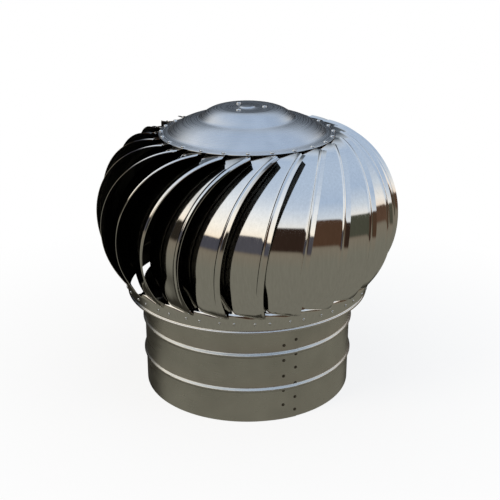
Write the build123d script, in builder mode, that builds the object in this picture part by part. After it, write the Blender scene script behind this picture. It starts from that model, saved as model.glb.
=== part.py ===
from build123d import *
import os
from math import asin, atan2, cos, degrees, hypot, radians, sin, sqrt, tan

# Roof turbine ventilator: a fixed throat collar carries a bracket and a standing shaft. On two sealed
# ball bearings turns a rotor of rolled vanes, fastened between a spun cap and a conical bottom ring.
# Millimetres. The origin is the centre of the collar's lower rim. +Z is up and is the axis of rotation.

# ---- throat collar: one rolled sheet with swaged beads ----
collar_radius = 150.0  # outside of the plain wall
collar_sheet = 0.8
collar_height = 154.0
bead_heights = (48.4, 101.0)
bead_rise = 3.0
bead_width = 9.0

# ---- rotor vanes: strips rolled to one radius and set askew, overlapping like an iris ----
vane_count = 24
vane_sheet = 0.6
vane_width = 53.0
vane_roll_radius = 121.5
vane_roll_start = 66.2  # from the rotor axis to where the roll begins
vane_setoff = 95.4  # from the rotor axis to the plane of the free edge, at mid height
vane_lean = 7.4  # degrees that this plane leans from the upright
first_vane_angle = -170.8  # direction of vane 1, from +X
vane_gap = 0.5  # degrees between the feet of neighbouring vanes
vane_rise = 201.0  # from the foot's fold up to the cap's flange
vane_foot_gap = 6.0  # from the spider up to the foot's fold
cap_tab_angle = 52.5  # degrees from a vane's own direction to the side of its tab under the cap

# ---- bottom ring: a conical band with a rolled lower edge ----
ring_sheet = 0.8
ring_height = 22.4
ring_taper = 8.0  # how much wider the band is at its top, on the radius
ring_hem = 2.2  # how far the rolled edge stands out, and half its height
foot_tab_clearance = 2.0  # from the end of a vane's foot to the rolled edge

# ---- cap: spun sheet, measured up from the top of its flange ----
cap_sheet = 0.8
flange_radius = 122.0
flange_width = 13.0
skirt_bend_radius = 90.3
skirt_bend_rise = 13.6
skirt_top_radius = 66.0
skirt_rise = 21.3
plateau_radius = 42.0
plateau_rise = 34.6
tab_reach = 1.0  # how far a vane's tab stops outside the skirt

# ---- bearings: sealed ball bearings of 12 x 32 x 10 ----
bearing_bore_radius = 6.0
bearing_outer_radius = 16.0
bearing_width = 10.0
inner_race_wall = 4.0
seal_gap = 0.06  # between the inner race and the seals that turn round it
slip_gap = 0.02  # between a race and what it is slid into or over

# ---- standing shaft and what clamps it ----
shaft_radius = 8.0
shaft_top_gap = 5.0  # from the shaft's upper end to the cap
thread_length = 20.0  # below the bracket
circlip_radius = 9.0
circlip_thickness = 1.2
nut_width = 19.0
nut_height = 10.0
washer_radius = 12.0
washer_thickness = 2.5
sleeve_radius = 9.0
sleeve_length = 7.0  # from the bracket up to the lower bearing

# ---- bearing housings: turned cups with a flange, the same above and below ----
housing_wall = 3.0
housing_throat_radius = 12.5
housing_flange_radius = 31.0
housing_flange = 2.0
housing_depth = 12.0  # from the flange's face down to the bearing

# ---- fixed bracket and turning spider: flat bar, three arms each ----
arm_count = 3
arm_width = 25.0
arm_thickness = 3.0
hub_plate_radius = 32.0
bracket_tab = 22.0  # height of its arms' ends, turned up against the collar
bracket_inset = 5.0  # from these ends up to the collar's top
bracket_angle = 30.0
spider_tab = 12.0  # height of its arms' ends, turned down inside the ring
spider_tab_inset = 4.1  # degrees from a vane's foot corner to the middle of an arm

os.makedirs("parts", exist_ok=True)


def save(part, name):
    """Name a finished piece and write it."""
    part.label = name
    export_step(part, f"parts/{name}.step")


def upright(angle):
    """The plane through the rotor axis at an angle from +X, with X outwards and Y up."""
    turn = radians(angle)
    return Plane(origin=(0, 0, 0), x_dir=(cos(turn), sin(turn), 0), z_dir=(sin(turn), -cos(turn), 0))


def on_circle(radius, angle):
    """A point of a circle round the axis, at an angle in degrees."""
    return (radius * cos(radians(angle)), radius * sin(radians(angle)))


# ---- places that several pieces share, from the collar's top and the bracket upwards ----
bracket_height = collar_height - bracket_inset - bracket_tab
bracket_top = bracket_height + arm_thickness
lower_bearing_top = bracket_top + sleeve_length + bearing_width
spider_height = lower_bearing_top + housing_depth
spider_top = spider_height + arm_thickness
vane_foot_height = spider_top + vane_foot_gap
vane_top_height = vane_foot_height + vane_rise

pitch = 360.0 / vane_count
lean = radians(vane_lean)
roll_height = vane_top_height - vane_roll_radius
foot_underside = vane_foot_height - vane_sheet


def reach_at(height, radius):
    """How far out along the vane's own direction a face rolled to a radius lies at a height."""
    return vane_roll_start + sqrt(radius**2 - (roll_height - height) ** 2)


foot_reach = reach_at(vane_foot_height, vane_roll_radius)
foot_setoff = vane_setoff - (roll_height - vane_foot_height) * tan(lean)
foot_corner_radius = hypot(foot_reach, foot_setoff)
foot_corner_angle = degrees(atan2(foot_setoff, foot_reach))
foot_left_angle = foot_corner_angle - pitch + vane_gap

ring_top_radius = foot_corner_radius - vane_sheet
ring_low_height = foot_underside - ring_height
ring_low_radius = ring_top_radius - ring_taper


def ring_radius_at(height):
    """Outside radius of the ring's band at a height."""
    return ring_top_radius - ring_taper * (foot_underside - height) / ring_height


flange_top = vane_top_height + cap_sheet
plateau_underside = flange_top + plateau_rise - cap_sheet
upper_bearing_top = plateau_underside - housing_depth
bearing_tops = (upper_bearing_top, lower_bearing_top)
inner_race_radius = bearing_bore_radius + inner_race_wall
spider_angle = first_vane_angle + foot_corner_angle - spider_tab_inset


# ---- throat collar ----
with BuildPart() as collar:
    with BuildSketch(Plane.XZ) as wall:
        with BuildLine():
            points = [(collar_radius, 0)]
            for height in bead_heights:
                points += [
                    (collar_radius, height - bead_width / 2),
                    (collar_radius + bead_rise, height),
                    (collar_radius, height + bead_width / 2),
                ]
            points.append((collar_radius, collar_height))
            inside = [(radius - collar_sheet, height) for radius, height in reversed(points)]
            Polyline(*points, *inside, close=True)
        make_face()
    revolve(axis=Axis.Z)
save(collar.part, "throat_collar")

# ---- fixed bracket ----
with BuildPart() as bracket:
    with BuildSketch(Plane.XY.offset(bracket_height)):
        Circle(hub_plate_radius)
    extrude(amount=arm_thickness)
    for arm in range(arm_count):
        with BuildSketch(upright(bracket_angle + arm * 360 / arm_count)):
            with BuildLine():
                Polyline(
                    (hub_plate_radius / 2, bracket_height),
                    (collar_radius, bracket_height),
                    (collar_radius, bracket_height + bracket_tab),
                    (collar_radius - collar_sheet - arm_thickness, bracket_height + bracket_tab),
                    (collar_radius - collar_sheet - arm_thickness, bracket_top),
                    (hub_plate_radius / 2, bracket_top),
                    close=True,
                )
            make_face()
        extrude(amount=arm_width / 2, both=True)
    with BuildSketch(Plane.XY.offset(bracket_height)):
        Circle(collar_radius - collar_sheet)
    extrude(amount=bracket_tab, mode=Mode.INTERSECT)
    with BuildSketch(Plane.XY.offset(bracket_height)):
        Circle(bearing_bore_radius + slip_gap)
    extrude(amount=arm_thickness, mode=Mode.SUBTRACT)
save(bracket.part, "support_bracket")


# ---- standing shaft, its spacer, washer, nut and circlip ----
shaft_top = plateau_underside - shaft_top_gap
shaft_bottom = bracket_height - thread_length
with BuildPart() as shaft:
    with BuildSketch(Plane.XZ):
        with BuildLine():
            Polyline(
                (0, shaft_bottom),
                (bearing_bore_radius, shaft_bottom),
                (bearing_bore_radius, lower_bearing_top),
                (shaft_radius, lower_bearing_top),
                (shaft_radius, upper_bearing_top - bearing_width),
                (bearing_bore_radius, upper_bearing_top - bearing_width),
                (bearing_bore_radius, shaft_top),
                (0, shaft_top),
                close=True,
            )
        make_face()
    revolve(axis=Axis.Z)
save(shaft.part, "centre_shaft")


def ring_piece(low, high, inner, outer, name):
    """A plain turned ring on the axis."""
    with BuildPart() as piece:
        with BuildSketch(Plane.XY.offset(low)):
            Circle(outer)
            Circle(inner, mode=Mode.SUBTRACT)
        extrude(amount=high - low)
    save(piece.part, name)


on_shaft = bearing_bore_radius + slip_gap
ring_piece(bracket_top, lower_bearing_top - bearing_width, on_shaft, sleeve_radius, "spacer_sleeve")
ring_piece(bracket_height - washer_thickness, bracket_height, on_shaft, washer_radius, "clamp_washer")
ring_piece(upper_bearing_top, upper_bearing_top + circlip_thickness, on_shaft, circlip_radius, "shaft_circlip")

with BuildPart() as nut:
    with BuildSketch(Plane.XY.offset(bracket_height - washer_thickness - nut_height)):
        RegularPolygon(nut_width / 2, 6, major_radius=False)
        Circle(on_shaft, mode=Mode.SUBTRACT)
    extrude(amount=nut_height)
save(nut.part, "clamp_nut")

# ---- bearings: the inner races stand with the shaft, the outer races turn with the rotor ----
with BuildPart() as inner_races:
    for top in bearing_tops:
        with BuildSketch(Plane.XY.offset(top - bearing_width)):
            Circle(inner_race_radius)
            Circle(on_shaft, mode=Mode.SUBTRACT)
        extrude(amount=bearing_width)
save(inner_races.part, "bearing_inner_races")

with BuildPart() as outer_races:
    for top in bearing_tops:
        with BuildSketch(Plane.XY.offset(top - bearing_width)):
            Circle(bearing_outer_radius - slip_gap)
            Circle(inner_race_radius + seal_gap, mode=Mode.SUBTRACT)
        extrude(amount=bearing_width)
save(outer_races.part, "bearing_outer_races")


# ---- bearing housings ----
def make_housing(face_height, name):
    """A cup that hangs from a plate: its shoulder lies on the outer race."""
    shoulder = face_height - housing_depth
    cup_radius = bearing_outer_radius + housing_wall
    with BuildPart() as housing:
        with BuildSketch(Plane.XZ):
            with BuildLine():
                Polyline(
                    (housing_throat_radius, face_height),
                    (housing_flange_radius, face_height),
                    (housing_flange_radius, face_height - housing_flange),
                    (cup_radius, face_height - housing_flange),
                    (cup_radius, shoulder - bearing_width),
                    (bearing_outer_radius, shoulder - bearing_width),
                    (bearing_outer_radius, shoulder),
                    (housing_throat_radius, shoulder),
                    close=True,
                )
            make_face()
        revolve(axis=Axis.Z)
    save(housing.part, name)


make_housing(plateau_underside, "upper_bearing_housing")
make_housing(spider_height, "lower_bearing_housing")

# ---- spider ----
tab_low = spider_top - spider_tab
tab_low_radius = ring_radius_at(tab_low) - ring_sheet
tab_top_radius = ring_radius_at(spider_top) - ring_sheet
with BuildPart() as spider:
    with BuildSketch(Plane.XY.offset(spider_height)):
        Circle(hub_plate_radius)
    extrude(amount=arm_thickness)
    for arm in range(arm_count):
        with BuildSketch(upright(spider_angle + arm * 360 / arm_count)):
            with BuildLine():
                Polyline(
                    (hub_plate_radius / 2, spider_height),
                    (ring_radius_at(spider_height) - ring_sheet - arm_thickness, spider_height),
                    (tab_low_radius - arm_thickness, tab_low),
                    (tab_low_radius + arm_thickness, tab_low),
                    (tab_top_radius + arm_thickness, spider_top),
                    (hub_plate_radius / 2, spider_top),
                    close=True,
                )
            make_face()
        extrude(amount=arm_width / 2, both=True)
    # the arms' ends follow the cone of the ring
    with BuildSketch(Plane.XZ):
        with BuildLine():
            Polyline((0, tab_low), (tab_low_radius, tab_low), (tab_top_radius, spider_top), (0, spider_top), close=True)
        make_face()
    revolve(axis=Axis.Z, mode=Mode.INTERSECT)
    with BuildSketch(Plane.XY.offset(spider_height)):
        Circle(housing_throat_radius)
    extrude(amount=arm_thickness, mode=Mode.SUBTRACT)
save(spider.part, "rotor_spider")

# ---- bottom ring ----
with BuildPart() as ring:
    with BuildSketch(Plane.XZ):
        with BuildLine():
            hem_top = ring_radius_at(ring_low_height + 2 * ring_hem)
            Polyline(
                (ring_top_radius, foot_underside),
                (hem_top, ring_low_height + 2 * ring_hem),
                (ring_low_radius + ring_hem, ring_low_height + ring_hem),
                (ring_low_radius, ring_low_height),
                (ring_low_radius - ring_sheet, ring_low_height),
                (ring_top_radius - ring_sheet, foot_underside),
                close=True,
            )
        make_face()
    revolve(axis=Axis.Z)
save(ring.part, "bottom_ring")

# ---- cap ----
with BuildPart() as cap:
    with BuildSketch(Plane.XZ):
        with BuildLine():
            Polyline(
                (flange_radius, flange_top),
                (flange_radius - flange_width, flange_top),
                (skirt_bend_radius, flange_top + skirt_bend_rise),
                (skirt_top_radius, flange_top + skirt_rise),
                (plateau_radius, flange_top + plateau_rise),
                (0, flange_top + plateau_rise),
            )
            offset(amount=cap_sheet, side=Side.LEFT, closed=True)
        make_face()
    revolve(axis=Axis.Z)
save(cap.part, "top_cap")

# ---- one vane, drawn with its own direction along X, then turned into its places ----
edge_normal = (0, cos(lean), -sin(lean))
edge_swing = vane_roll_radius * tan(lean) + 1
strip_end_angle = degrees(asin((roll_height - foot_underside + 2 * vane_sheet) / vane_roll_radius))
with BuildPart() as vane:
    # a strip rolled about a level axis, both its edges cut askew
    with BuildSketch(Plane(origin=(0, vane_setoff + edge_swing, roll_height), x_dir=(1, 0, 0), z_dir=(0, -1, 0))):
        with BuildLine():
            outside = CenterArc((vane_roll_start, 0), vane_roll_radius, -strip_end_angle, 90 + strip_end_angle)
            inside = CenterArc(
                (vane_roll_start, 0), vane_roll_radius - vane_sheet, -strip_end_angle, 90 + strip_end_angle
            )
            Line(outside @ 0, inside @ 0)
            Line(outside @ 1, inside @ 1)
        make_face()
    extrude(amount=vane_width + 2 * edge_swing)
    free_edge = Plane(origin=(0, vane_setoff, roll_height), x_dir=(1, 0, 0), z_dir=edge_normal)
    inner_edge = Plane(origin=(0, vane_setoff - vane_width, roll_height), x_dir=(1, 0, 0), z_dir=edge_normal)
    split(bisect_by=inner_edge, keep=Keep.TOP)
    split(bisect_by=Plane.XY.offset(foot_underside), keep=Keep.TOP)
    # the foot is folded out level over the ring's edge
    with BuildSketch(Plane.XY.offset(foot_underside)):
        with BuildLine():
            inner_line = (
                reach_at(foot_underside, vane_roll_radius)
                + reach_at(vane_foot_height, vane_roll_radius - vane_sheet)
            ) / 2
            past_corner = foot_corner_angle + 1
            rim_left = on_circle(foot_corner_radius, foot_left_angle)
            rim_middle = on_circle(foot_corner_radius, (foot_left_angle + past_corner) / 2)
            rim_right = on_circle(foot_corner_radius, past_corner)
            Polyline(
                rim_right,
                (inner_line, inner_line * tan(radians(past_corner))),
                (inner_line, inner_line * tan(radians(foot_left_angle))),
                rim_left,
            )
            ThreePointArc(rim_left, rim_middle, rim_right)
        make_face()
    extrude(amount=vane_sheet)
    split(bisect_by=free_edge, keep=Keep.BOTTOM)
    # towards the cap only the tab under its flange is left
    side_turn = radians(cap_tab_angle)
    split(bisect_by=Plane(origin=(0, 0, 0), x_dir=(0, 0, 1), z_dir=(-sin(side_turn), cos(side_turn), 0)),
          keep=Keep.BOTTOM)
    with BuildSketch(Plane.XY.offset(roll_height)):
        Circle(flange_radius - flange_width + tab_reach)
    extrude(amount=vane_roll_radius, mode=Mode.SUBTRACT)
    # the foot's tab goes down against the ring
    tab_end = ring_low_height + 2 * ring_hem + foot_tab_clearance
    with BuildSketch(upright(foot_left_angle)):
        with BuildLine():
            Polyline(
                (ring_radius_at(tab_end), tab_end),
                (ring_top_radius, foot_underside),
                (ring_top_radius + vane_sheet, foot_underside),
                (ring_radius_at(tab_end) + vane_sheet, tab_end),
                close=True,
            )
        make_face()
    revolve(axis=Axis.Z, revolution_arc=pitch - 2 * vane_gap)

for number, place in enumerate(PolarLocations(0, vane_count, start_angle=first_vane_angle).locations, 1):
    save(vane.part.moved(place), f"vane_{number:02d}")
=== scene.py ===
from math import atan2, cos, degrees, hypot, pi, radians, sin, sqrt, tan

import bmesh
import bpy
from mathutils import Matrix, Vector


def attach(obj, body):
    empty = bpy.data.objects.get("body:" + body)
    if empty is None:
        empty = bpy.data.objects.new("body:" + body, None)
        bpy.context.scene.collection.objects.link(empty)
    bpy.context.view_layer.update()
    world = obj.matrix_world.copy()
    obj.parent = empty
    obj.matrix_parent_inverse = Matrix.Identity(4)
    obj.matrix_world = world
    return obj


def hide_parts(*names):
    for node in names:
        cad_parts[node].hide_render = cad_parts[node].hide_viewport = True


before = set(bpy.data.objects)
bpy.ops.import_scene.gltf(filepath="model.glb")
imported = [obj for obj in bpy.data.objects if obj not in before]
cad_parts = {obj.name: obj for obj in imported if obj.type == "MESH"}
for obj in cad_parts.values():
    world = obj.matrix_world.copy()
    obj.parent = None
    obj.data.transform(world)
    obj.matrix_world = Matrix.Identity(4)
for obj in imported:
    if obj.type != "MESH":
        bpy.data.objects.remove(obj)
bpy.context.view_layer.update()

# Lengths are in millimetres. MM turns them to metres, and METRE / length is
# the scale of a pattern whose grain has that length. Angles round the axis are degrees from +X.
MM = 0.001
METRE = 1000.0

# ---- sizes shared with the solids ----
VANES = 24
PITCH = 360.0 / VANES
FIRST_VANE = -170.8  # direction of vane 1
VANE_GAP = 0.5  # degrees between the feet of neighbouring vanes
VANE_SHEET = 0.6
VANE_WIDTH = 53.0
ROLL_RADIUS = 121.5
ROLL_START = 66.2  # from the axis to where a vane's roll begins
SETOFF = 95.4  # from the axis to the plane of a vane's free edge, at the roll's height
LEAN = radians(7.4)  # of this plane, from the upright
TOP_HEIGHT = 369.0
FOOT_HEIGHT = 168.0
CAP_TAB_ANGLE = 52.5  # from a vane's own direction to the side of its tab under the cap
ROLL_HEIGHT = TOP_HEIGHT - ROLL_RADIUS
FOOT_REACH = ROLL_START + sqrt(ROLL_RADIUS**2 - (ROLL_HEIGHT - FOOT_HEIGHT) ** 2)
FOOT_SETOFF = SETOFF - (ROLL_HEIGHT - FOOT_HEIGHT) * tan(LEAN)
FOOT_RADIUS = hypot(FOOT_REACH, FOOT_SETOFF)
FOOT_ANGLE = degrees(atan2(FOOT_SETOFF, FOOT_REACH))
FOOT_LEFT = FOOT_ANGLE - PITCH + VANE_GAP
RING_SHEET = 0.8
RING_HEIGHT = 22.4
RING_TAPER = 8.0
RING_TOP = FOOT_HEIGHT - VANE_SHEET
RING_LOW = RING_TOP - RING_HEIGHT
RING_TOP_RADIUS = FOOT_RADIUS - VANE_SHEET
RING_LOW_RADIUS = RING_TOP_RADIUS - RING_TAPER
HEM = 2.2
CAP_SHEET = 0.8
FLANGE_RADIUS = 122.0
FLANGE_TOP = TOP_HEIGHT + CAP_SHEET
COLLAR_RADIUS = 150.0
COLLAR_HEIGHT = 154.0
COLLAR_SHEET = 0.8
BEADS = (48.4, 101.0)
BEAD_RISE = 3.0
BEAD_WIDTH = 9.0
ARMS = 3
BRACKET_ANGLE = 30.0
BRACKET_TAB_MIDDLE = 142.6
SPIDER_TOP = 162.0


def ring_radius_at(height):
    return RING_TOP_RADIUS - RING_TAPER * (RING_TOP - height) / RING_HEIGHT


def bead_rise_at(offset):
    """How far the collar's bead stands out at a height above or below its middle."""
    return BEAD_RISE * cos(pi * offset / BEAD_WIDTH) ** 2


def at(radius, angle, height):
    return (radius * cos(radians(angle)), radius * sin(radians(angle)), height)


# ---- finishes ----
def srgb(code):
    """A hex colour as linear red, green, blue and alpha."""
    parts = [int(code[i : i + 2], 16) / 255 for i in (0, 2, 4)]
    return [c / 12.92 if c <= 0.04045 else ((c + 0.055) / 1.055) ** 2.4 for c in parts] + [1.0]


def add(tree, kind, inputs=None, stops=(), **settings):
    """A node with its settings, its values and links, and a ramp's (place, colour) stops."""
    node = tree.nodes.new(kind)
    for key, value in settings.items():
        setattr(node, key, value)
    for key, value in (inputs or {}).items():
        if isinstance(value, bpy.types.NodeSocket):
            tree.links.new(value, node.inputs[key])
        else:
            node.inputs[key].default_value = value
    if stops:
        elements = node.color_ramp.elements
        elements[0].position, elements[0].color = stops[0][0], srgb(stops[0][1])
        elements[1].position, elements[1].color = stops[-1][0], srgb(stops[-1][1])
        for position, code in stops[1:-1]:
            elements.new(position).color = srgb(code)
    return node


def emptied(owner):
    """The node tree of a material or a world, with nothing in it."""
    owner.use_nodes = True
    owner.node_tree.nodes.clear()
    return owner.node_tree


def begin_metal(name):
    """A material, its empty tree and the object's own coordinates."""
    material = bpy.data.materials.new(name)
    tree = emptied(material)
    return material, tree, add(tree, "ShaderNodeTexCoord").outputs["Object"]


def end_metal(tree, colour, roughness, normal):
    """The metal itself, with all that varies over it."""
    varying = {"Base Color": colour, "Roughness": roughness, "Normal": normal}
    shader = add(tree, "ShaderNodeBsdfPrincipled", {**varying, "Metallic": 1.0})
    add(tree, "ShaderNodeOutputMaterial", {"Surface": shader.outputs["BSDF"]})


def within(value, limits):
    """Inputs that turn what lies between two limits to 0 to 1."""
    return {"Value": value, "From Min": limits[0], "From Max": limits[1]}


def spread(value, low, high):
    """Inputs that spread the middle of a noise over a range."""
    return {**within(value, (0.3, 0.7)), "To Min": low, "To Max": high}


def polished_stainless():
    # Stainless strip, cold rolled and bright annealed, then rolled to its curve in a bench former:
    # a clear mirror with faint rolling lines, and a slight ripple that bends what it reflects. Only
    # the outer side is polished: the side that faces the axis keeps the mill's dull skin, and its dark
    # colour is painted shade that stands in for the shade inside the turbine. Real rolling lines are
    # 0.1 mm apart and are drawn at 2.5 mm.
    material, tree, place = begin_metal("polished stainless strip")
    ripple = add(tree, "ShaderNodeTexNoise", {"Vector": place, "Scale": METRE / 45.0, "Detail": 1.0})
    along = add(tree, "ShaderNodeMapping", {"Vector": place, "Scale": (1.0, 1.0, 0.12)}).outputs["Vector"]
    lines = add(tree, "ShaderNodeTexNoise", {"Vector": along, "Scale": METRE / 2.5, "Detail": 2.0})
    grain = lines.outputs["Fac"]
    haze = add(tree, "ShaderNodeMapRange", spread(grain, 0.05, 0.09))
    dent = add(
        tree, "ShaderNodeBump", {"Height": ripple.outputs["Fac"], "Strength": 0.35, "Distance": 0.5 * MM}
    )
    facing = add(tree, "ShaderNodeTexCoord").outputs["Normal"]
    outwards = add(tree, "ShaderNodeVectorMath", {0: facing, 1: place}, operation="DOT_PRODUCT")
    inside = {0: outwards.outputs["Value"], 1: 0.0}
    inner = add(tree, "ShaderNodeMath", inside, operation="LESS_THAN").outputs[0]
    bright = add(tree, "ShaderNodeValToRGB", {"Fac": grain}, stops=[(0.3, "E8E7E4"), (0.7, "F1F0ED")])
    # painted shade: the side towards the axis is painted dark grey-brown, for the shade inside the turbine
    painted_shade_colour = add(tree, "ShaderNodeValToRGB", {"Fac": grain}, stops=[(0.3, "3B3A36"), (0.7, "484743")])
    both = {"Factor": inner, 6: bright.outputs["Color"], 7: painted_shade_colour.outputs["Color"]}
    tint = add(tree, "ShaderNodeMix", both, data_type="RGBA")
    dulled = {0: inner, 1: 0.3, 2: haze.outputs["Result"]}
    sheen = add(tree, "ShaderNodeMath", dulled, operation="MULTIPLY_ADD")
    end_metal(tree, tint.outputs[2], sheen.outputs[0], dent.outputs["Normal"])
    return material


def spun_stainless():
    # Stainless sheet spun over a form and brushed on the lathe: fine rings round the axis, a satin
    # sheen that spreads highlights along the radius. Real rings are 0.2 mm apart, drawn at 1.6 mm.
    material, tree, place = begin_metal("spun brushed stainless")
    apart = add(tree, "ShaderNodeSeparateXYZ", {"Vector": place})
    flat = add(tree, "ShaderNodeCombineXYZ", {"X": apart.outputs["X"], "Y": apart.outputs["Y"]})
    radius = add(tree, "ShaderNodeVectorMath", {0: flat.outputs["Vector"]}, operation="LENGTH")
    turned_rings = {"W": radius.outputs["Value"], "Scale": METRE / 1.6, "Detail": 3.0}
    rings = add(tree, "ShaderNodeTexNoise", turned_rings, noise_dimensions="1D").outputs["Fac"]
    cloud = add(tree, "ShaderNodeTexNoise", {"Vector": place, "Scale": METRE / 30.0, "Detail": 2.0})
    sheen = add(tree, "ShaderNodeMapRange", spread(rings, 0.24, 0.36))
    groove = add(tree, "ShaderNodeBump", {"Height": rings, "Strength": 0.25, "Distance": 0.15 * MM})
    tint = add(
        tree, "ShaderNodeValToRGB", {"Fac": cloud.outputs["Fac"]}, stops=[(0.35, "D9DADB"), (0.65, "E4E4E4")]
    )
    end_metal(tree, tint.outputs["Color"], sheen.outputs["Result"], groove.outputs["Normal"])
    return material


def rolled_stainless():
    # Plain cold-rolled stainless sheet, rolled to a tube: duller than the strip, with the mill's faint
    # lines running round the collar, drawn at 2 mm, and cloudy handling marks.
    material, tree, place = begin_metal("cold-rolled stainless sheet")
    around = add(tree, "ShaderNodeMapping", {"Vector": place, "Scale": (0.08, 0.08, 1.0)}).outputs["Vector"]
    mill_lines = {"Vector": around, "Scale": METRE / 2.0, "Detail": 3.0}
    mill = add(tree, "ShaderNodeTexNoise", mill_lines).outputs["Fac"]
    marks = {"Vector": place, "Scale": METRE / 40.0, "Detail": 3.0}
    cloud = add(tree, "ShaderNodeTexNoise", marks).outputs["Fac"]
    sheen = add(tree, "ShaderNodeMapRange", spread(mill, 0.26, 0.36))
    lines = add(tree, "ShaderNodeBump", {"Height": mill, "Strength": 0.15, "Distance": 0.1 * MM})
    waves = {"Height": cloud, "Strength": 0.3, "Distance": 0.6 * MM, "Normal": lines.outputs["Normal"]}
    wave = add(tree, "ShaderNodeBump", waves)
    tint = add(tree, "ShaderNodeValToRGB", {"Fac": cloud}, stops=[(0.3, "D3D2CC"), (0.7, "E2E1DB")])
    end_metal(tree, tint.outputs["Color"], sheen.outputs["Result"], wave.outputs["Normal"])
    return material


def plain_metal(name, dark, light, grain, low, high, bump):
    """A metal whose colour and roughness vary over a grain of so many millimetres."""
    material, tree, place = begin_metal(name)
    grains = {"Vector": place, "Scale": METRE / grain, "Detail": 4.0}
    noise = add(tree, "ShaderNodeTexNoise", grains).outputs["Fac"]
    sheen = add(tree, "ShaderNodeMapRange", spread(noise, low, high))
    relief = add(tree, "ShaderNodeBump", {"Height": noise, "Strength": bump, "Distance": 0.2 * MM})
    tint = add(tree, "ShaderNodeValToRGB", {"Fac": noise}, stops=[(0.3, dark), (0.7, light)])
    end_metal(tree, tint.outputs["Color"], sheen.outputs["Result"], relief.outputs["Normal"])
    return material


strip_finish = polished_stainless()
cap_finish = spun_stainless()
collar_finish = rolled_stainless()
# Zinc-plated flat bar and hardware: a grey, slightly spangled plate with a soft sheen.
zinc_finish = plain_metal("zinc-plated steel", "8E9296", "AEB2B5", 6.0, 0.34, 0.48, 0.2)
# Drawn steel bar: smooth, with the wet-looking shine that the die and a film of oil leave.
bright_finish = plain_metal("bright drawn steel", "A9A9A8", "BDBDBB", 3.0, 0.18, 0.26, 0.1)
# Ground and polished bearing rings: an even, near-mirror grey with sharp highlights.
bearing_finish = plain_metal("ground bearing steel", "B4B4B4", "C4C4C3", 2.0, 0.12, 0.20, 0.05)
# Housings turned from aluminium: pale grey and a little matt from the fine tool marks.
aluminium_finish = plain_metal("turned aluminium", "BDBFC1", "CFD0D1", 1.5, 0.28, 0.36, 0.15)
# Steel rivets tumbled in a drum: small bright heads that catch the light.
rivet_finish = plain_metal("bright rivet steel", "E2E2E0", "F0F0EE", 1.5, 0.12, 0.2, 0.1)
# Spot welds: the sheet is dimpled, and the heat has burnt its surface to a dull grey-brown.
weld_finish = plain_metal("heat-tinted weld", "4A443D", "6F685F", 1.2, 0.42, 0.6, 0.4)


# ---- modelling helpers ----
def deselect():
    if bpy.context.object and bpy.context.object.mode != "OBJECT":
        bpy.ops.object.mode_set(mode="OBJECT")
    bpy.ops.object.select_all(action="DESELECT")


def only(piece):
    deselect()
    piece.select_set(True)
    bpy.context.view_layer.objects.active = piece


def apply_modifier(piece, kind, **settings):
    only(piece)
    modifier = piece.modifiers.new(kind.title(), kind)
    for key, value in settings.items():
        setattr(modifier, key, value)
    bpy.ops.object.modifier_apply(modifier=modifier.name)


def settle(piece):
    """Leaves the piece at the origin, with its place in its mesh."""
    only(piece)
    bpy.ops.object.transform_apply(location=True, rotation=True, scale=True)


def smooth(piece, angle=35):
    only(piece)
    bpy.ops.object.shade_smooth_by_angle(angle=radians(angle))


def finish_piece(piece, material, body, replaced=()):
    """The piece's finish, the body it rides on and the solids it stands for."""
    piece.data.materials.clear()
    piece.data.materials.append(material)
    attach(piece, body)
    if replaced:
        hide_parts(*replaced)


def turned(name, profile, steps=180, fill_end=False):
    """A circle drawn out ring by ring through the (radius, height) points of a profile."""
    deselect()
    radius, height = profile[0]
    bpy.ops.mesh.primitive_circle_add(vertices=steps, radius=radius * MM, location=(0, 0, height * MM))
    piece = bpy.context.object
    piece.name = piece.data.name = name
    bpy.ops.object.mode_set(mode="EDIT")
    bpy.ops.mesh.select_all(action="SELECT")
    for (r0, z0), (r1, z1) in zip(profile, profile[1:]):
        bpy.ops.mesh.extrude_region_move(TRANSFORM_OT_translate={"value": (0, 0, (z1 - z0) * MM)})
        if r1 != r0:
            grow = r1 / r0
            bpy.ops.transform.resize(value=(grow, grow, 1), center_override=(0, 0, z1 * MM))
    if fill_end:
        bpy.ops.mesh.edge_face_add()
    bpy.ops.mesh.select_all(action="SELECT")
    bpy.ops.mesh.remove_doubles(threshold=1e-6)
    bpy.ops.mesh.normals_make_consistent(inside=False)
    bpy.ops.object.mode_set(mode="OBJECT")
    settle(piece)
    return piece


def arc_points(start, middle, end, count):
    """Points of the circle through three (radius, height) points, from start to end."""
    (ax, ay), (bx, by), (cx, cy) = start, middle, end
    d = 2 * (ax * (by - cy) + bx * (cy - ay) + cx * (ay - by))
    ux = ((ax**2 + ay**2) * (by - cy) + (bx**2 + by**2) * (cy - ay) + (cx**2 + cy**2) * (ay - by)) / d
    uy = ((ax**2 + ay**2) * (cx - bx) + (bx**2 + by**2) * (ax - cx) + (cx**2 + cy**2) * (bx - ax)) / d
    a0, a1, a2 = (atan2(y - uy, x - ux) for x, y in (start, middle, end))
    span = (a2 - a0) % (2 * pi)
    if (a1 - a0) % (2 * pi) > span:
        span -= 2 * pi
    radius = hypot(ax - ux, ay - uy)
    turns = [a0 + span * i / count for i in range(count + 1)]
    return [(ux + radius * cos(turn), uy + radius * sin(turn)) for turn in turns]


# ---- camera: 1.36 m from the point it aims at, and 21.3 degrees above it ----
CAMERA_PLACE = Vector((0, -1.2655, 0.6893))
CAMERA_AIM = Vector((0, 0, 0.1962))
LENS = 67.7
SENSOR = 36.0
SHIFT = (0.0056, -0.0024)

camera_data = bpy.data.cameras.new("camera")
camera_data.lens = LENS
camera_data.sensor_width = SENSOR
camera_data.shift_x, camera_data.shift_y = SHIFT
camera = bpy.data.objects.new("camera", camera_data)
camera.location = CAMERA_PLACE
camera.rotation_euler = (CAMERA_AIM - CAMERA_PLACE).to_track_quat("-Z", "Y").to_euler()
bpy.context.scene.collection.objects.link(camera)
bpy.context.scene.camera = camera

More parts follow.
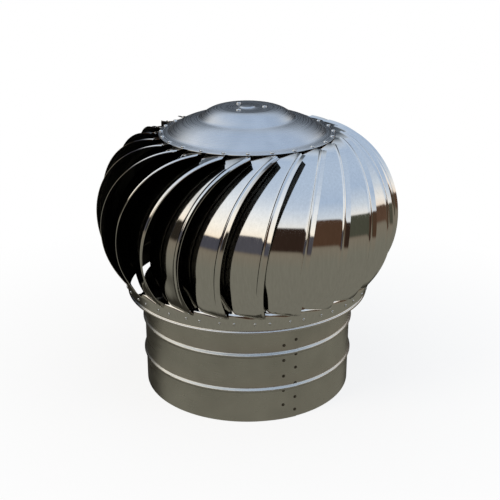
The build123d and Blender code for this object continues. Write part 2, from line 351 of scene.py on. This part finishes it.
# ---- throat collar: a rolled tube with two swaged beads ----
BEAD_STEPS = 12
COURSES_BELOW = (0.0, 14.0, 30.0)  # heights of the plain wall's rings under the lower bead
COURSE_OVER_BEAD = 18.0
COURSE_UNDER_RIM = 14.0


def collar_profile():
    points = [(COLLAR_RADIUS, height) for height in COURSES_BELOW]
    for bead in BEADS:
        for step in range(BEAD_STEPS + 1):
            offset = -BEAD_WIDTH / 2 + BEAD_WIDTH * step / BEAD_STEPS
            points.append((COLLAR_RADIUS + bead_rise_at(offset), bead + offset))
        points.append((COLLAR_RADIUS, bead + BEAD_WIDTH / 2 + COURSE_OVER_BEAD))
    return points + [(COLLAR_RADIUS, COLLAR_HEIGHT - COURSE_UNDER_RIM), (COLLAR_RADIUS, COLLAR_HEIGHT)]


collar = turned("throat_collar_sheet", collar_profile())
apply_modifier(collar, "SOLIDIFY", thickness=COLLAR_SHEET * MM, offset=-1.0)
smooth(collar)
finish_piece(collar, collar_finish, "base", ["throat_collar"])

# ---- the collar's lap: the outer end of its sheet, a thin step at the seam ----
SEAM = -63.2  # where the sheet's outer end lies
LAP = 16.0  # over so many degrees the outer sheet comes away from the inner one
LAP_STEP = 0.7
LAP_SHEET = 0.6


def lap_lift_at(angle):
    """How far the outer sheet stands out of the collar at an angle."""
    return LAP_STEP * max(0.0, 1 + (angle - SEAM) / LAP) if angle <= SEAM else 0.0


lap = turned("collar_lap", collar_profile(), steps=540)
only(lap)
bpy.ops.object.mode_set(mode="EDIT")
bpy.ops.mesh.select_all(action="DESELECT")
mesh = bmesh.from_edit_mesh(lap.data)
for vertex in mesh.verts:
    angle = degrees(atan2(vertex.co.y, vertex.co.x))
    vertex.select = not SEAM - LAP < angle < SEAM
    if not vertex.select:
        grow = 1 + lap_lift_at(angle) / COLLAR_RADIUS
        vertex.co.x *= grow
        vertex.co.y *= grow
bmesh.update_edit_mesh(lap.data)
bpy.ops.mesh.delete(type="VERT")
bpy.ops.object.mode_set(mode="OBJECT")
apply_modifier(lap, "SOLIDIFY", thickness=LAP_SHEET * MM, offset=-1.0)
smooth(lap)
finish_piece(lap, collar_finish, "base")

# ---- bottom ring: a conical band with a rolled edge ----
RING_COURSES = (6.0, 12.0, 16.0)  # from the band's top down to its rings of points
HEM_DROP = 1.8  # how far the roll hangs below the band's own edge
HEM_START = 80  # degrees above the level, where the roll leaves the band
HEM_TURN = 16  # degrees from point to point round the roll
HEM_POINTS = 11
HEM_OVERLAP = 0.1  # how far the roll's middle stands out of the band's edge
HEM_LIP = 0.4  # from the roll's lowest point up to where it closes inside

hem_low = RING_LOW - HEM_DROP
ring_profile = [(RING_TOP_RADIUS - RING_SHEET, RING_TOP), (RING_TOP_RADIUS, RING_TOP)]
ring_profile += [(ring_radius_at(RING_TOP - drop), RING_TOP - drop) for drop in RING_COURSES]
for step in range(HEM_POINTS):
    turn = radians(HEM_START - HEM_TURN * step)
    out = RING_LOW_RADIUS + HEM_OVERLAP + (HEM - HEM_OVERLAP) * cos(turn)
    ring_profile.append((out, hem_low + HEM + HEM * sin(turn)))
ring_profile += [(RING_LOW_RADIUS - RING_SHEET, hem_low + HEM_LIP), (RING_TOP_RADIUS - RING_SHEET, RING_TOP)]
ring = turned("bottom_ring_band", ring_profile)
smooth(ring)
finish_piece(ring, strip_finish, "rotor", ["bottom_ring"])

# ---- cap: a spun sheet, from its rim up to the boss in its middle ----
# each form is a list of radii with their rise over the flange's rim
CAP_FLANGE = [(FLANGE_RADIUS, 0.0), (121.2, 0.3), (116.0, 1.2), (110.8, 2.1)]
CAP_SKIRT = arc_points((109.0, 2.7), (90.3, 14.2), (68.5, 20.5), 14)
CAP_STEP = [(66.4, 21.1), (64.6, 22.1)]
CAP_DOME = arc_points((63.0, 23.4), (51.5, 31.0), (38.5, 34.55), 12)
PLATEAU_RISE = 34.7
CAP_PLATEAU = [(radius, PLATEAU_RISE) for radius in (36.0, 24.0, 12.6)]
CAP_BOSS = [(11.4, 35.1), (10.4, 36.1), (8.6, 36.4), (1.0, 36.4)]

outline = CAP_FLANGE + CAP_SKIRT + CAP_STEP + CAP_DOME + CAP_PLATEAU + CAP_BOSS
cap = turned("spun_cap", [(radius, FLANGE_TOP + rise) for radius, rise in outline], fill_end=True)
apply_modifier(cap, "SOLIDIFY", thickness=CAP_SHEET * MM, offset=-1.0)
smooth(cap)
finish_piece(cap, cap_finish, "rotor", ["top_cap"])

# ---- rotor vanes ----
# a station is a distance from a vane's free edge, across its strip
CREASE = 8.0  # the station of the strip's pressed bead
CREASE_HALF = 2.0
CREASE_LIFT = 1.0
FLARE = 1.3  # how far the free edge stands out, over the last millimetres of the sheet
FLARE_WIDTH = 5.6
LEFT_STATION = FOOT_SETOFF - FOOT_REACH * tan(radians(FOOT_LEFT))
INNER_STATION = VANE_WIDTH + 10.0  # the strip reaches a little further in than the solid does
STATIONS = [0.0, 0.8, 2.6, 4.4, FLARE_WIDTH]
STATIONS += [CREASE - CREASE_HALF + CREASE_HALF * step / 4 for step in range(9)]
STATIONS += [13.0, 18.0, 24.0, 30.0, 36.0, 41.0, LEFT_STATION, 50.0, 55.0, INNER_STATION]
ROLL_FROM = -atan2(ROLL_HEIGHT - FOOT_HEIGHT, FOOT_REACH - ROLL_START)  # from the level
ROLL_STEPS = 64
FOLD_LEVEL = 4.0  # up to this station the foot's fold is level, and further in it rises
FOLD_RISE = 9.0  # how much higher it is at the foot's inner end
FOOT_BLEND = 224.0  # the height where the strip starts to turn towards the rim
SHOULDER = 1.0  # depth of the soft shoulder from the fold out to the tab
SHOULDER_RUN = 12.0  # stations over which it grows
SHOULDER_FORM = ((0.35, 0.7), (0.80, 1.9), (1.00, 3.2))  # shares of its depth, with the drop there
SHOULDER_END = 4.0  # drop of the point under the shoulder
RETREAT_FROM = 30.0  # from this station on the fold draws back from the rim
RETREAT_RUN = 20.0
RETREAT = 6.0  # how far it has drawn back after that run
TAB_DROP = 0.1  # the tab's upper line lies at least so far under the foot's height
TAB_LOW = 151.6
TAB_LIP = 1.0  # height of the tab's last stretch, which stands off the ring
TAB_STAND_OFF = 0.5
CAP_TAB_NEAR = 110.0  # radius where the slanting end of the tab under the cap meets its side
CAP_TAB_FAR = (93.7, 57.6)  # and a point that this end runs through


def strip_lift_at(station):
    """How far the strip stands out of its roll: a flared free edge, then a bead."""
    near = abs(station - CREASE)
    bead = CREASE_LIFT * cos(pi * near / (2 * CREASE_HALF)) ** 2 if near < CREASE_HALF else 0.0
    return bead + FLARE * max(0.0, 1 - station / FLARE_WIDTH)


def fold_height(station):
    return FOOT_HEIGHT + FOLD_RISE * max(0.0, (station - FOLD_LEVEL) / (LEFT_STATION - FOLD_LEVEL))


def fold_inset(station):
    """How far inside the rim the fold lies: nothing at the free edge, a shoulder's depth, more inside."""
    share = min(1.0, max(0.0, (station - CREASE - CREASE_HALF) / SHOULDER_RUN))
    retreat = RETREAT * max(0.0, (station - RETREAT_FROM) / RETREAT_RUN) ** 2
    return SHOULDER * share * share * (3 - 2 * share) + retreat


def foot_profile(fold_radius, fold):
    """(radius, height) points from the fold out over a soft shoulder and down the tab."""
    out = max(0.0, FOOT_RADIUS - fold_radius)
    soft = min(1.0, out / SHOULDER)
    lip = TAB_LOW + TAB_LIP
    return [(fold_radius + share * out, fold - drop * soft) for share, drop in SHOULDER_FORM] + [
        (FOOT_RADIUS, min(fold - SHOULDER_END * soft, FOOT_HEIGHT - TAB_DROP)),
        (ring_radius_at(lip) + VANE_SHEET, lip),
        (ring_radius_at(TAB_LOW) + VANE_SHEET + TAB_STAND_OFF, TAB_LOW),
    ]


def draw_strip_end():
    """A line across the strip's lower end, with its own direction along X, left selected."""
    deselect()
    bpy.ops.mesh.primitive_grid_add(x_subdivisions=len(STATIONS) - 1, y_subdivisions=1, size=1.0)
    vane = bpy.context.object
    bpy.ops.object.mode_set(mode="EDIT")
    bpy.ops.mesh.select_all(action="DESELECT")
    mesh = bmesh.from_edit_mesh(vane.data)
    for vertex in mesh.verts:
        vertex.select = vertex.co.y < 0
    bpy.ops.mesh.delete(type="VERT")
    mesh = bmesh.from_edit_mesh(vane.data)
    for vertex, station in zip(sorted(mesh.verts, key=lambda v: v.co.x), STATIONS):
        radius = ROLL_RADIUS + strip_lift_at(station)
        reach = ROLL_START + radius * cos(ROLL_FROM)
        vertex.co = Vector((reach, SETOFF - station, ROLL_HEIGHT + radius * sin(ROLL_FROM))) * MM
        vertex.select = True
    for edge in mesh.edges:
        edge.select = True
    bmesh.update_edit_mesh(vane.data)
    return vane


def bend_strip(vane):
    """Turns the strip's end to meet the ring's rim, marks the fold, and leans the free edge."""
    mesh = bmesh.from_edit_mesh(vane.data)
    foot = mesh.verts.layers.int.new("foot")
    for vertex in mesh.verts:
        station = SETOFF - vertex.co.y / MM
        height = vertex.co.z / MM
        radius = ROLL_RADIUS + strip_lift_at(station)
        if height < FOOT_BLEND:
            lowest = ROLL_HEIGHT + radius * sin(ROLL_FROM)
            share = (height - lowest) / (FOOT_BLEND - lowest)
            fold = fold_height(station)
            height = fold + (FOOT_BLEND - fold) * share
            aside = vertex.co.y / MM + (fold - ROLL_HEIGHT) * tan(LEAN)
            rim = sqrt((FOOT_RADIUS - fold_inset(station)) ** 2 - aside**2)
            pull = rim - ROLL_START - sqrt(radius**2 - (ROLL_HEIGHT - fold) ** 2)
            pull *= (1 - share) ** 2 * (1 + 2 * share)
            vertex.co.x = (ROLL_START + sqrt(radius**2 - (ROLL_HEIGHT - height) ** 2) + pull) * MM
            vertex.co.z = height * MM
            # the fold is the strip's lowest line, as far in as the foot goes
            vertex[foot] = int(share < 1e-4 and station < LEFT_STATION + 0.01)
        vertex.co.y += (height - ROLL_HEIGHT) * MM * tan(LEAN)
    bmesh.update_edit_mesh(vane.data)


def cut_cap_tab():
    """Cuts the strip's upper end to the tab under the cap: its side, then its slanting end."""
    near = Vector(at(CAP_TAB_NEAR, CAP_TAB_ANGLE, 0)) * MM
    along = (Vector((*CAP_TAB_FAR, 0)) * MM - near).normalized()
    bpy.ops.mesh.select_all(action="SELECT")
    bpy.ops.mesh.bisect(plane_co=(0, 0, 0), plane_no=at(1, CAP_TAB_ANGLE + 90, 0), clear_outer=True)
    bpy.ops.mesh.select_all(action="SELECT")
    bpy.ops.mesh.bisect(plane_co=near, plane_no=(along.y, -along.x, 0), clear_outer=True)


def draw_foot_tab(vane):
    """Draws the fold's edges out over a soft shoulder to the rim, then down against the ring."""
    bpy.ops.mesh.select_all(action="DESELECT")
    mesh = bmesh.from_edit_mesh(vane.data)
    foot = mesh.verts.layers.int["foot"]
    for edge in mesh.edges:
        if edge.is_boundary and edge.verts[0][foot] and edge.verts[1][foot]:
            edge.select = True
    mesh.select_flush_mode()
    courses = {}
    for vertex in mesh.verts:
        if vertex.select:
            turn = atan2(vertex.co.y, vertex.co.x)
            courses[turn] = foot_profile(hypot(vertex.co.x, vertex.co.y) / MM, vertex.co.z / MM)
    for step in range(len(foot_profile(0, 0))):
        bpy.ops.mesh.extrude_region_move()
        mesh = bmesh.from_edit_mesh(vane.data)
        for vertex in mesh.verts:
            if vertex.select:
                turn = atan2(vertex.co.y, vertex.co.x)
                radius, height = courses[min(courses, key=lambda known: abs(known - turn))][step]
                vertex.co = Vector((radius * cos(turn), radius * sin(turn), height)) * MM
        bmesh.update_edit_mesh(vane.data)


def face_outwards(vane):
    """Merges doubled points and turns all faces the way that the strip's top faces."""
    bpy.ops.mesh.select_all(action="SELECT")
    bpy.ops.mesh.remove_doubles(threshold=1e-6)
    bpy.ops.mesh.normals_make_consistent(inside=False)
    mesh = bmesh.from_edit_mesh(vane.data)
    if max(mesh.faces, key=lambda face: face.calc_center_median().z).normal.z < 0:
        bpy.ops.mesh.flip_normals()


def make_vane():
    """One vane with its own direction along X: a line across the strip, spun to its roll and folded."""
    vane = draw_strip_end()
    middle = (ROLL_START * MM, 0, ROLL_HEIGHT * MM)
    bpy.ops.mesh.spin(steps=ROLL_STEPS, angle=pi / 2 - ROLL_FROM, center=middle, axis=(0, 1, 0))
    bend_strip(vane)
    cut_cap_tab()
    draw_foot_tab(vane)
    face_outwards(vane)
    bpy.ops.object.mode_set(mode="OBJECT")
    settle(vane)
    apply_modifier(vane, "SOLIDIFY", thickness=VANE_SHEET * MM, offset=-1.0)
    smooth(vane, 32)
    return vane


pattern = make_vane()
for number in range(VANES):
    vane = pattern.copy()
    vane.data = pattern.data.copy()
    vane.name = vane.data.name = f"polished_vane_{number + 1:02d}"
    vane.data.transform(Matrix.Rotation(radians(FIRST_VANE + number * PITCH), 4, "Z"))
    bpy.context.scene.collection.objects.link(vane)
    finish_piece(vane, strip_finish, "rotor", [f"vane_{number + 1:02d}"])
bpy.data.objects.remove(pattern)


# ---- rivets and spot welds ----
def row_of(pattern, places, name):
    """Copies of a small upright pattern at (point, outward direction) places, joined to one piece."""
    copies = []
    for point, outward in places:
        copy = pattern.copy()
        copy.data = pattern.data.copy()
        turn = Vector((0, 0, 1)).rotation_difference(Vector(outward)).to_matrix().to_4x4()
        copy.data.transform(Matrix.Translation(Vector(point) * MM) @ turn)
        bpy.context.scene.collection.objects.link(copy)
        copies.append(copy)
    bpy.data.objects.remove(pattern)
    only(copies[0])
    for copy in copies:
        copy.select_set(True)
    bpy.ops.object.join()
    row = bpy.context.object
    row.name = row.data.name = name
    return row


def disc(name, steps, radius):
    """A flat disc at the origin, in edit mode and selected, as the start of a small head."""
    deselect()
    bpy.ops.mesh.primitive_circle_add(vertices=steps, radius=radius * MM, fill_type="NGON")
    bpy.context.object.name = name
    bpy.ops.object.mode_set(mode="EDIT")
    bpy.ops.mesh.select_all(action="SELECT")
    return bpy.context.object


def round_off(head):
    """Turns a head's faces outwards and smooths them."""
    bpy.ops.mesh.select_all(action="SELECT")
    bpy.ops.mesh.normals_make_consistent(inside=False)
    bpy.ops.object.mode_set(mode="OBJECT")
    smooth(head, 40)


RIVET_DOME = ((1.0, 0.35), (0.9, 0.7), (0.68, 0.9), (0.42, 1.0))  # shares of a rivet's radius and rise
STEM_RIM = 0.05  # share of its radius round the broken stem
STEM_DEPTH = 0.35  # share of its rise that the stem is sunk
WELD_RADIUS = 2.3
WELD_RISE = 0.16
WELD_RIM = 0.5
WELD_SLOPE = 0.7  # width of the slope from the rim to the sunken middle
WELD_DIP = 0.12


def rivet_head(radius, rise):
    """A blind rivet's head: a flat dome with the end of its broken stem."""
    rivet = disc("rivet_head", 20, radius)
    height = 0.0
    for share, lift in RIVET_DOME:
        step_up = (0, 0, (lift * rise - height) * MM)
        bpy.ops.mesh.extrude_region_move(TRANSFORM_OT_translate={"value": step_up})
        height = lift * rise
        mesh = bmesh.from_edit_mesh(rivet.data)
        now = max(hypot(v.co.x, v.co.y) for v in mesh.verts if v.select)
        grow = share * radius * MM / now
        bpy.ops.transform.resize(value=(grow, grow, 1), center_override=(0, 0, height * MM))
    bpy.ops.mesh.inset(thickness=STEM_RIM * radius * MM)
    bpy.ops.mesh.extrude_region_move(TRANSFORM_OT_translate={"value": (0, 0, -STEM_DEPTH * rise * MM)})
    round_off(rivet)
    return rivet


def weld_dimple():
    """A spot weld: a low rim round a sunken middle."""
    weld = disc("weld_dimple", 16, WELD_RADIUS)
    bpy.ops.mesh.extrude_region_move(TRANSFORM_OT_translate={"value": (0, 0, WELD_RISE * MM)})
    bpy.ops.mesh.inset(thickness=WELD_RIM * MM)
    bpy.ops.mesh.inset(thickness=WELD_SLOPE * MM)
    bpy.ops.transform.translate(value=(0, 0, -WELD_DIP * MM))
    round_off(weld)
    return weld


UPRIGHT = (0, 0, 1)
# heads of rivets, as (radius, rise)
CAP_RIVET = (2.9, 1.7)
CENTRE_RIVET = (3.6, 1.7)
FOOT_RIVET = (2.4, 1.1)
ARM_RIVET = (3.6, 1.5)
SINK = 0.05  # how deep a rivet's head sits in the sheet
CAP_RIVET_RADIUS = 118.6
CAP_RIVET_TURN = 51.3  # degrees from a vane's own direction to its rivet under the cap
CAP_RIVET_RISE = 0.65  # of the flange's slope there
HUB_RIVET_RADIUS = 23.6
FOOT_RIVET_TURNS = (4.2, 13.0)  # degrees in from a foot's corner
FOOT_RIVET_HEIGHT = 160.0

cap_places = []
foot_places = []
for number in range(VANES):
    vane_angle = FIRST_VANE + PITCH * number
    cap_point = at(CAP_RIVET_RADIUS, vane_angle + CAP_RIVET_TURN, FLANGE_TOP + CAP_RIVET_RISE)
    cap_places.append((cap_point, UPRIGHT))
    for turn in FOOT_RIVET_TURNS:
        angle = vane_angle + FOOT_ANGLE - turn
        point = at(ring_radius_at(FOOT_RIVET_HEIGHT) + VANE_SHEET - SINK, angle, FOOT_RIVET_HEIGHT)
        foot_places.append((point, at(1, angle, -RING_TAPER / RING_HEIGHT)))
centre_places = []
bracket_places = []
hub_places = []
for arm in range(ARMS):
    around = arm * 360 / ARMS
    centre_places.append((at(HUB_RIVET_RADIUS, around, FLANGE_TOP + PLATEAU_RISE - SINK), UPRIGHT))
    bracket_point = at(COLLAR_RADIUS - SINK, BRACKET_ANGLE + around, BRACKET_TAB_MIDDLE)
    bracket_places.append((bracket_point, at(1, BRACKET_ANGLE + around, 0)))
    hub_places.append((at(HUB_RIVET_RADIUS, around + 180 / ARMS, SPIDER_TOP - SINK), UPRIGHT))

RIVET_ROWS = [
    ("cap_flange_rivets", CAP_RIVET, cap_places, "rotor", "vane_steel"),
    ("cap_centre_rivets", CENTRE_RIVET, centre_places, "rotor", "vane_steel"),
    ("foot_rivets", FOOT_RIVET, foot_places, "rotor", "vane_steel"),
    ("bracket_rivets", ARM_RIVET, bracket_places, "base", "zinc_steel"),
    ("spider_hub_rivets", ARM_RIVET, hub_places, "rotor", "zinc_steel"),
]
for name, size, places, body, slot in RIVET_ROWS:
    finish_piece(row_of(rivet_head(*size), places, name), rivet_finish, body)

# two columns of spot welds down the collar's lap: an angle, with the heights there
WELD_COLUMNS = {-70.9: (22.2, 44.6, 66.6, 90.4, 113.0), -64.2: (11.5, 31.3, 53.0, 76.9, 97.4, 118.9)}
WELD_SINK = 0.03

weld_places = []
for angle, heights in WELD_COLUMNS.items():
    for height in heights:
        bead = sum(bead_rise_at(height - middle) for middle in BEADS if abs(height - middle) < BEAD_WIDTH / 2)
        radius = COLLAR_RADIUS + bead + lap_lift_at(angle) - WELD_SINK
        weld_places.append((at(radius, angle, height), at(1, angle, 0)))
welds = row_of(weld_dimple(), weld_places, "lap_spot_welds")
finish_piece(welds, weld_finish, "base")

# ---- finishes of the solids that stay ----
FINISHES = {
    "support_bracket": zinc_finish,
    "rotor_spider": zinc_finish,
    "clamp_washer": zinc_finish,
    "clamp_nut": zinc_finish,
    "centre_shaft": bright_finish,
    "spacer_sleeve": bright_finish,
    "shaft_circlip": bright_finish,
    "bearing_inner_races": bearing_finish,
    "bearing_outer_races": bearing_finish,
    "upper_bearing_housing": aluminium_finish,
    "lower_bearing_housing": aluminium_finish,
}
for node, material in FINISHES.items():
    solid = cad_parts[node]
    solid.data.materials.clear()
    solid.data.materials.append(material)

# ---- surroundings ----
WHITE = srgb("FFFFFF")
WORLD_LIGHT = 1.1
# level directions: to the dark side, to the sky's glow and to the highest part of the skyline
SHADED = at(1, 105, 0)
GLOW = at(1, -168, 0)
SKYLINE = at(1, -76, 0)
# heights in the surroundings are sines of the elevation, and the colours of sky, ground and dark side
# have places from 0, straight down, to 1, straight up
SKYLINE_LOW = 0.175
SKYLINE_RISE = 0.31
SKYLINE_BLUR = 0.02
YARD_FOOT = (-0.09, -0.02)  # where the ground goes over into what stands on it
GLOW_FADE = (-0.1, 0.75)  # from blue sky to warm sky, by how far a direction points to the glow
SHADE_FADE = (0.5, 0.8)  # from the open yard to the dark side
SHADE_TOP = (0.40, 0.68)  # where the dark side ends upwards
WARM_SKY = [(0.55, "FFD9AC"), (0.60, "FFF1DC"), (0.70, "FFF9EE"), (0.86, "E9EEF4"), (1.0, "B9C9DE")]
BLUE_SKY = [(0.55, "F3D9BE"), (0.66, "F1EDE8"), (0.76, "CBD5E1"), (0.88, "A9BCD6"), (1.0, "B0C2DA")]
GROUND = [(0.0, "706E64"), (0.30, "727065"), (0.44, "787164"), (0.48, "6C6357")]
# walls, sheds and hedges round the yard, from -X by way of -Y, +X and +Y back to -X
YARD = [(0.0, "3F4047"), (0.06, "47474F"), (0.15, "4B4A50"), (0.20, "33261F"), (0.24, "2B201A")]
YARD += [(0.29, "4E382B"), (0.34, "473629"), (0.37, "44443A"), (0.41, "47483D"), (0.46, "5C4537")]
YARD += [(0.52, "4A3A2E"), (1.0, "24211C")]
DARK_SIDE = [(0.0, "33312A"), (0.40, "1C1A15"), (0.55, "100E0B"), (0.64, "24272B"), (0.72, "5B646E")]
DARK_SIDE += [(1.0, "9BA8B6")]


def add_sky(tree, direction, share_up):
    """The sky's colour: warm and bright towards its glow, and pale blue on the other side."""
    warm = add(tree, "ShaderNodeValToRGB", {"Fac": share_up}, stops=WARM_SKY)
    blue = add(tree, "ShaderNodeValToRGB", {"Fac": share_up}, stops=BLUE_SKY)
    glow = add(tree, "ShaderNodeVectorMath", {0: direction, 1: GLOW}, operation="DOT_PRODUCT")
    glow_range = within(glow.outputs["Value"], GLOW_FADE)
    warmth = add(tree, "ShaderNodeMapRange", glow_range, interpolation_type="SMOOTHSTEP")
    both = {"Factor": warmth.outputs["Result"], 6: blue.outputs["Color"], 7: warm.outputs["Color"]}
    return add(tree, "ShaderNodeMix", both, data_type="RGBA").outputs[2]


def add_yard(tree, apart, share_up):
    """What is under the skyline: walls, sheds and hedges round the yard, and the ground before them."""
    turn = add(tree, "ShaderNodeMath", {0: apart.outputs["Y"], 1: apart.outputs["X"]}, operation="ARCTAN2")
    share_round = add(tree, "ShaderNodeMapRange", within(turn.outputs["Value"], (-pi, pi)))
    yard = add(tree, "ShaderNodeValToRGB", {"Fac": share_round.outputs["Result"]}, stops=YARD)
    ground = add(tree, "ShaderNodeValToRGB", {"Fac": share_up}, stops=GROUND)
    foot_range = within(apart.outputs["Z"], YARD_FOOT)
    standing = add(tree, "ShaderNodeMapRange", foot_range, interpolation_type="SMOOTHSTEP")
    both = {"Factor": standing.outputs["Result"], 6: ground.outputs["Color"], 7: yard.outputs["Color"]}
    return add(tree, "ShaderNodeMix", both, data_type="RGBA").outputs[2]


def add_skyline(tree, ahead, rise):
    """1 above the skyline and 0 below it. The skyline is highest in one direction and its opposite."""
    top = add(tree, "ShaderNodeVectorMath", {0: ahead, 1: SKYLINE}, operation="DOT_PRODUCT").outputs["Value"]
    squared = add(tree, "ShaderNodeMath", {0: top, 1: top}, operation="MULTIPLY").outputs[0]
    height = {0: squared, 1: SKYLINE_RISE, 2: SKYLINE_LOW}
    skyline = add(tree, "ShaderNodeMath", height, operation="MULTIPLY_ADD").outputs[0]
    above = add(tree, "ShaderNodeMath", {0: rise, 1: skyline}, operation="SUBTRACT").outputs[0]
    edge = within(above, (-SKYLINE_BLUR, SKYLINE_BLUR))
    return add(tree, "ShaderNodeMapRange", edge, interpolation_type="SMOOTHSTEP").outputs["Result"]


def add_shade(tree, ahead, rise):
    """1 on the dark side and 0 round the rest of the yard and high up."""
    dark = add(tree, "ShaderNodeVectorMath", {0: ahead, 1: SHADED}, operation="DOT_PRODUCT").outputs["Value"]
    side_range = within(dark, SHADE_FADE)
    side = add(tree, "ShaderNodeMapRange", side_range, interpolation_type="SMOOTHSTEP").outputs["Result"]
    top_range = {**within(rise, SHADE_TOP), "To Min": 1.0, "To Max": 0.0}
    under = add(tree, "ShaderNodeMapRange", top_range, interpolation_type="SMOOTHSTEP").outputs["Result"]
    return add(tree, "ShaderNodeMath", {0: side, 1: under}, operation="MULTIPLY").outputs[0]


def build_world():
    """White for the camera, and for the metal an open yard: sky, a skyline, ground and a dark side."""
    world = bpy.data.worlds.new("pale studio")
    bpy.context.scene.world = world
    tree = emptied(world)
    direction = add(tree, "ShaderNodeTexCoord").outputs["Generated"]
    apart = add(tree, "ShaderNodeSeparateXYZ", {"Vector": direction})
    rise = apart.outputs["Z"]
    level = add(tree, "ShaderNodeCombineXYZ", {"X": apart.outputs["X"], "Y": apart.outputs["Y"]})
    normal = add(tree, "ShaderNodeVectorMath", {0: level.outputs["Vector"]}, operation="NORMALIZE")
    ahead = normal.outputs["Vector"]
    share_up = add(tree, "ShaderNodeMapRange", within(rise, (-1.0, 1.0))).outputs["Result"]

    layers = {
        "Factor": add_skyline(tree, ahead, rise),
        6: add_yard(tree, apart, share_up),
        7: add_sky(tree, direction, share_up),
    }
    open_side = add(tree, "ShaderNodeMix", layers, data_type="RGBA").outputs[2]
    dark_side = add(tree, "ShaderNodeValToRGB", {"Fac": share_up}, stops=DARK_SIDE).outputs["Color"]
    sides = {"Factor": add_shade(tree, ahead, rise), 6: open_side, 7: dark_side}
    room = add(tree, "ShaderNodeMix", sides, data_type="RGBA").outputs[2]

    to_eye = add(tree, "ShaderNodeLightPath").outputs["Is Camera Ray"]
    lit = add(tree, "ShaderNodeBackground", {"Color": room, "Strength": WORLD_LIGHT}).outputs[0]
    plain = add(tree, "ShaderNodeBackground", {"Color": WHITE, "Strength": 1.0}).outputs[0]
    mixed = add(tree, "ShaderNodeMixShader", {"Fac": to_eye, 1: lit, 2: plain})
    add(tree, "ShaderNodeOutputWorld", {"Surface": mixed.outputs[0]})


FLOOR_RADIUS = 8000.0
FLOOR_DROP = 0.2  # under the collar's rim
DUCT_RADIUS = 149.5  # the open duct in the floor, under the collar, drawn as a disc of painted shade
SHADOW_RADII = (200.0 * MM, 700.0 * MM)  # between them the floor's shadow fades out
SHADOW_WHITE = 0.82  # share of the background's white inside them


def build_floor():
    """A pale floor that keeps the object's shadow, with painted shade under the collar: a near-black disc for
    the dark open duct.
    """
    material = bpy.data.materials.new("pale floor")
    tree = emptied(material)
    seen = add(tree, "ShaderNodeLightPath")
    place = add(tree, "ShaderNodeTexCoord").outputs["Object"]
    radius = add(tree, "ShaderNodeVectorMath", {0: place}, operation="LENGTH").outputs["Value"]
    # near the object the floor keeps its shadow, and further out it is the background's white
    white_range = {**within(radius, SHADOW_RADII), "To Min": SHADOW_WHITE, "To Max": 1.0}
    fade = add(tree, "ShaderNodeMapRange", white_range).outputs["Result"]
    whiteness = {0: seen.outputs["Is Camera Ray"], 1: fade}
    to_eye = add(tree, "ShaderNodeMath", whiteness, operation="MULTIPLY").outputs[0]
    paint = add(tree, "ShaderNodeBsdfDiffuse", {"Color": srgb("E6E4E0")}).outputs[0]
    white = add(tree, "ShaderNodeEmission", {"Color": WHITE, "Strength": 1.0}).outputs[0]
    shown = add(tree, "ShaderNodeMixShader", {"Fac": to_eye, 1: paint, 2: white}).outputs[0]
    # the metal sees past the floor, to the yard's own ground
    through = add(tree, "ShaderNodeBsdfTransparent", {"Color": WHITE}).outputs[0]
    mirrored = {"Fac": seen.outputs["Is Glossy Ray"], 1: shown, 2: through}
    open_floor = add(tree, "ShaderNodeMixShader", mirrored).outputs[0]
    inside = add(tree, "ShaderNodeMath", {0: radius, 1: DUCT_RADIUS * MM}, operation="LESS_THAN").outputs[0]
    # painted shade: the duct's dark inside is a near-black diffuse disc
    duct_painted_shade = add(tree, "ShaderNodeBsdfDiffuse", {"Color": srgb("0B0A09")}).outputs[0]
    whole = add(tree, "ShaderNodeMixShader", {"Fac": inside, 1: open_floor, 2: duct_painted_shade})
    add(tree, "ShaderNodeOutputMaterial", {"Surface": whole.outputs[0]})
    deselect()
    bpy.ops.mesh.primitive_circle_add(
        vertices=96, radius=FLOOR_RADIUS * MM, fill_type="NGON", location=(0, 0, -FLOOR_DROP * MM)
    )
    floor = bpy.context.object
    floor.name = "floor"
    floor.data.materials.append(material)


LAMP_AIM = Vector((0, 0, 0.25))


def add_lamp(name, place, size, power, code):
    """A soft round lamp at a place in metres, which the metal doesn't mirror."""
    lamp = bpy.data.lights.new(name, "AREA")
    lamp.shape = "DISK"
    lamp.size = size
    lamp.energy = power
    lamp.color = srgb(code)[:3]
    holder = bpy.data.objects.new(name, lamp)
    holder.location = place
    holder.visible_glossy = False
    holder.rotation_euler = (LAMP_AIM - Vector(place)).to_track_quat("-Z", "Y").to_euler()
    bpy.context.scene.collection.objects.link(holder)


build_world()
build_floor()
add_lamp("key lamp", (-2.2, -1.6, 2.4), 1.4, 60, "FFF1DC")
add_lamp("fill lamp", (2.4, -1.0, 2.2), 1.6, 25, "E6F0FF")

bpy.context.scene.view_settings.view_transform = "Standard"
